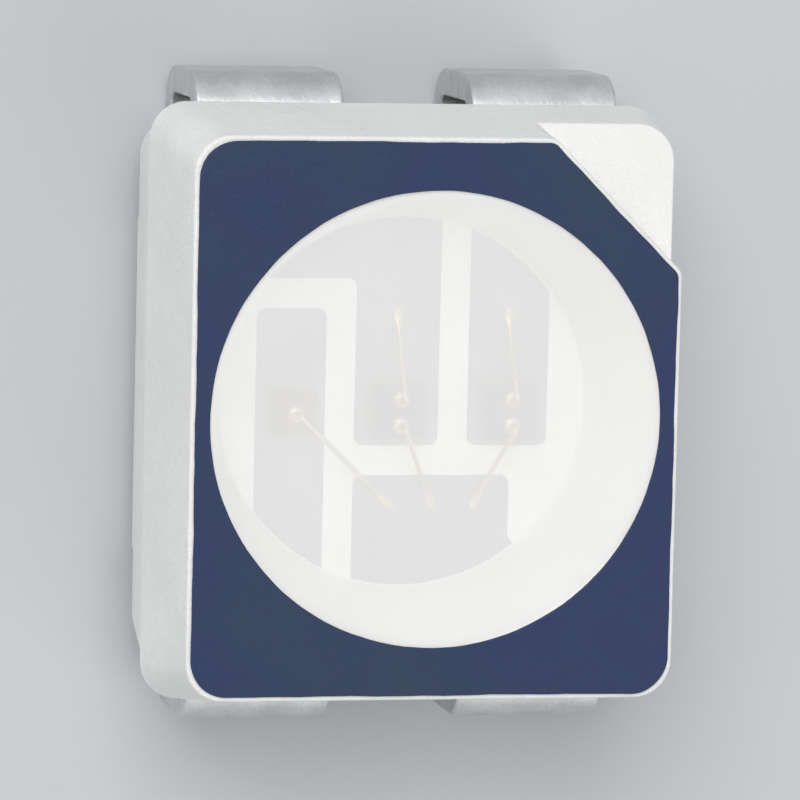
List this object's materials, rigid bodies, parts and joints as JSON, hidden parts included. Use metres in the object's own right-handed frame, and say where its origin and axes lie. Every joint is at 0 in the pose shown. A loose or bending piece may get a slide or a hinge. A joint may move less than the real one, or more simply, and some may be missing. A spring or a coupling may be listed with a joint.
{
  "type": "smd led",
  "caption": "Flat square LED for surface mounting: white drafted body, dark printed face, round milky window, corner notch and folded leads.",
  "frame": {"origin": "on the board plane, under the middle of the body", "axes": "+Z out of the window, +Y along the leads towards the end with the notch, +X towards the notched side"},
  "size_m": [0.0028, 0.0036, 0.0019],
  "materials": {
    "white_moulding": "white high-temperature polyamide, fine matt mould finish",
    "dark_print": "dark ink, fine matt",
    "milky_resin": "diffusing casting resin, smooth",
    "plated_copper": "copper alloy strip, silver plated, feet tinned",
    "red_crystal": "sawn semiconductor, dark",
    "sapphire": "sawn sapphire with a thin active layer on top",
    "silver_epoxy": "silver-filled epoxy",
    "clear_epoxy": "clear epoxy",
    "gold": "gold, bright"
  },
  "bodies": {
    "root": {"housing": "white_moulding", "face_print": "dark_print", "window_resin": "milky_resin", "lead_common_anode": "plated_copper", "lead_red_cathode": "plated_copper", "lead_green_cathode": "plated_copper", "lead_blue_cathode": "plated_copper", "die_red": "red_crystal", "die_glue_red": "silver_epoxy", "bond_pad_red_anode": "gold", "bond_wire_red_anode": "gold", "die_green": "sapphire", "die_glue_green": "clear_epoxy", "bond_pad_green_anode": "gold", "bond_pad_green_cathode": "gold", "bond_wire_green_anode": "gold", "bond_wire_green_cathode": "gold", "die_blue": "sapphire", "die_glue_blue": "clear_epoxy", "bond_pad_blue_anode": "gold", "bond_pad_blue_cathode": "gold", "bond_wire_blue_anode": "gold", "bond_wire_blue_cathode": "gold"}
  },
  "joints": []
}
